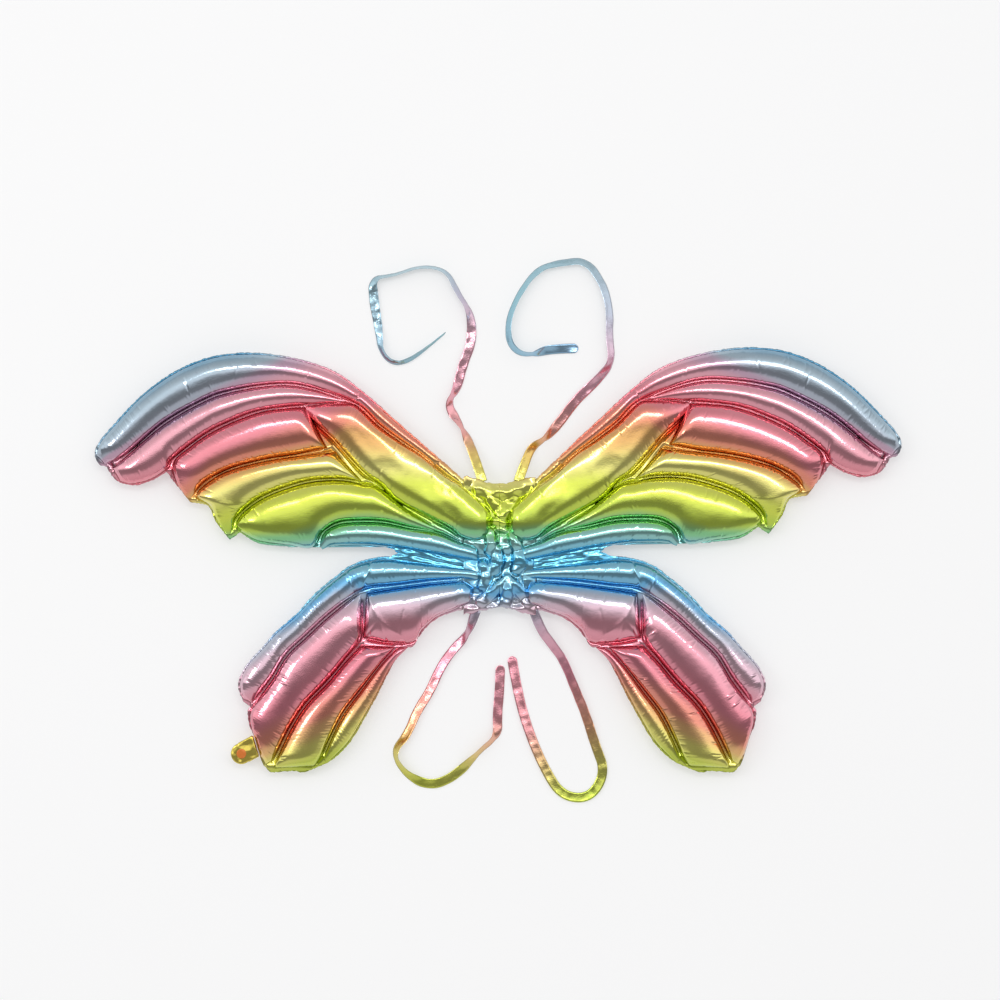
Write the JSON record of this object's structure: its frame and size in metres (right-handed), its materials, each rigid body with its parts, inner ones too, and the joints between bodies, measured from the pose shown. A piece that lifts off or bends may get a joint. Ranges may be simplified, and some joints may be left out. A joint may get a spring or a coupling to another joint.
{
  "type": "inflatable fairy wings",
  "caption": "Inflatable butterfly-shaped costume wings of welded metallised film, with feather air cells, a gathered middle, folding lobes, an inflation tab and tie ribbons.",
  "frame": {"origin": "on the floor under the middle of the object, which lies flat on its back without its ribbons", "axes": "+X along the span to the right, +Y up the wearer's back towards the upper wings, +Z out of the printed front"},
  "size_m": [0.9946, 0.6785, 0.038],
  "materials": {
    "upper_cell_film": "bright metallised polyester film, printed in a rainbow that runs from steel blue at the tips over pink and yellow to green",
    "lower_cell_film": "bright metallised polyester film, printed from blue at the root over pink to yellow",
    "weld_film": "bright metallised film, welded flat",
    "ribbon_film": "bright metallised ribbon film",
    "valve_film": "clear polyethylene film",
    "mark_ink": "flat orange printing ink"
  },
  "bodies": {
    "centre": {"centre_back_gather": "weld_film", "centre_front_gather": "weld_film", "lower_left_strap": "ribbon_film", "lower_right_strap": "ribbon_film", "upper_left_strap": "ribbon_film", "upper_right_strap": "ribbon_film"},
    "inflation_tab": {"filling_mark": "mark_ink", "tab_back_sheet": "weld_film", "tab_front_sheet": "weld_film", "valve_back_film": "valve_film", "valve_front_film": "valve_film"},
    "left_lower_wing": {"left_lower_back_sheet": "weld_film", "left_lower_fourth_feather": "lower_cell_film", "left_lower_front_sheet": "weld_film", "left_lower_leading_tube": "lower_cell_film", "left_lower_root_cell": "lower_cell_film", "left_lower_second_feather": "lower_cell_film", "left_lower_third_feather": "lower_cell_film"},
    "left_upper_wing": {"left_upper_arm_tube": "upper_cell_film", "left_upper_back_sheet": "weld_film", "left_upper_fifth_feather": "upper_cell_film", "left_upper_fourth_feather": "upper_cell_film", "left_upper_front_sheet": "weld_film", "left_upper_leading_tube": "upper_cell_film", "left_upper_second_feather": "upper_cell_film", "left_upper_third_feather": "upper_cell_film", "left_upper_trailing_tube": "upper_cell_film"},
    "right_lower_wing": {"right_lower_back_sheet": "weld_film", "right_lower_fourth_feather": "lower_cell_film", "right_lower_front_sheet": "weld_film", "right_lower_leading_tube": "lower_cell_film", "right_lower_root_cell": "lower_cell_film", "right_lower_second_feather": "lower_cell_film", "right_lower_third_feather": "lower_cell_film"},
    "right_upper_wing": {"right_upper_arm_tube": "upper_cell_film", "right_upper_back_sheet": "weld_film", "right_upper_fifth_feather": "upper_cell_film", "right_upper_fourth_feather": "upper_cell_film", "right_upper_front_sheet": "weld_film", "right_upper_leading_tube": "upper_cell_film", "right_upper_second_feather": "upper_cell_film", "right_upper_third_feather": "upper_cell_film", "right_upper_trailing_tube": "upper_cell_film"}
  },
  "joints": [
    {"name": "left_wing_fold", "type": "hinge", "parent": "centre", "child": "left_upper_wing", "pos_m": [-0.04, 0.02, 0.019], "axis": [0, 1, 0], "range_deg": [-30, 75]},
    {"name": "right_wing_fold", "type": "hinge", "parent": "centre", "child": "right_upper_wing", "pos_m": [0.04, 0.02, 0.019], "axis": [0, -1, 0], "range_deg": [-30, 75]},
    {"name": "left_lower_crease", "type": "hinge", "parent": "left_upper_wing", "child": "left_lower_wing", "pos_m": [-0.0415, -0.005, 0.019], "axis": [-0.9909, 0.1349, 0], "range_deg": [-10, 10]},
    {"name": "right_lower_crease", "type": "hinge", "parent": "right_upper_wing", "child": "right_lower_wing", "pos_m": [0.0415, -0.005, 0.019], "axis": [-0.9909, -0.1349, 0], "range_deg": [-10, 10]},
    {"name": "inflation_tab_fold", "type": "hinge", "parent": "left_lower_wing", "child": "inflation_tab", "pos_m": [-0.30003, -0.22778, 0.019], "axis": [-0.2841, 0.9588, 0], "range_deg": [-60, 60]}
  ]
}
